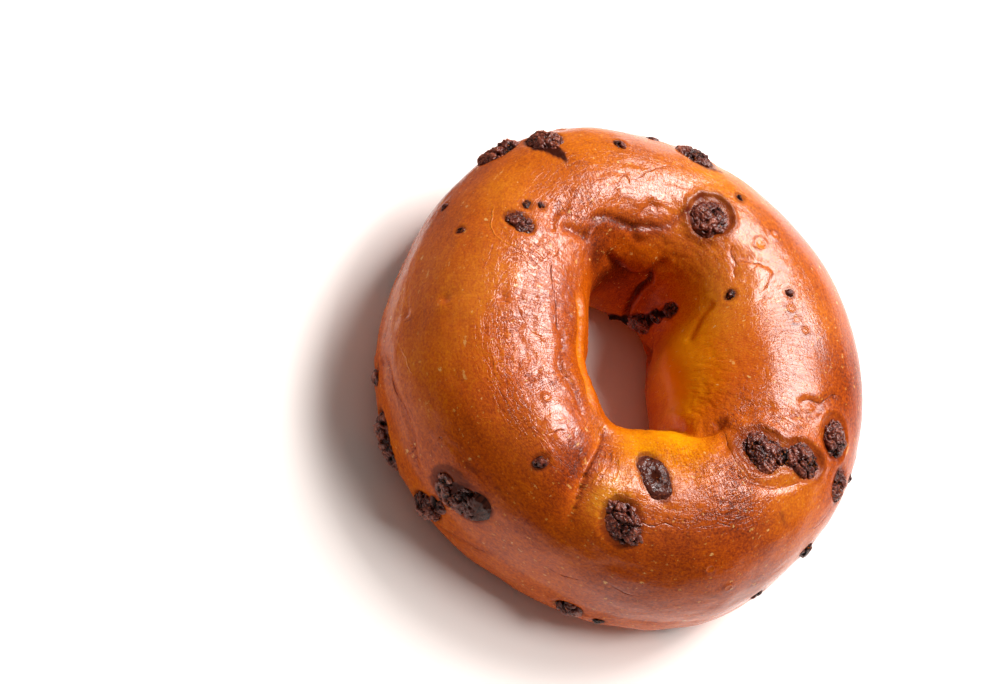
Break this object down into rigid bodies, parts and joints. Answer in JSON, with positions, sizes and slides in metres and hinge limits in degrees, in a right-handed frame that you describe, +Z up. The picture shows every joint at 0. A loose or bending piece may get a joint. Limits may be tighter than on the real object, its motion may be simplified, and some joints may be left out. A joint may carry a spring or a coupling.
{
  "type": "chocolate chip bagel",
  "caption": "Ring-shaped baked bread roll with a glossy brown crust and chocolate chips, lying flat on its baked base.",
  "frame": {"origin": "middle of the bounding box at the flat base that the bagel was baked on", "axes": "+Z up through the hole, -Y the near side, +X to its right; the seam of the rolled rope crosses the crown near -Y"},
  "size_m": [0.1098, 0.11, 0.0425],
  "materials": {
    "crust": "baked golden to chestnut brown crust with a thin glossy egg wash",
    "chocolate": "dark baked chocolate, crumbly and dull with glossy melted spots"
  },
  "bodies": {
    "root": {"dough": "crust", "chip_rim_left": "chocolate", "chip_rim_top": "chocolate", "chip_rim_far": "chocolate", "chip_round": "chocolate", "chip_crown_left": "chocolate", "chip_hole_wall": "chocolate", "chip_hole_high": "chocolate", "chip_lip_upper": "chocolate", "chip_lip_lower": "chocolate", "chip_pair_large": "chocolate", "chip_pair_small": "chocolate", "chip_side_oval": "chocolate", "chip_side_small": "chocolate", "chip_front_melted": "chocolate", "chip_front_proud": "chocolate", "chip_front_left": "chocolate", "chip_front_low": "chocolate", "chip_back_a": "chocolate", "chip_back_b": "chocolate", "chip_back_c": "chocolate", "chip_back_d": "chocolate", "chip_back_e": "chocolate", "chip_back_f": "chocolate", "chip_base_a": "chocolate", "chip_base_b": "chocolate", "chip_base_c": "chocolate", "chip_base_d": "chocolate"}
  },
  "joints": []
}
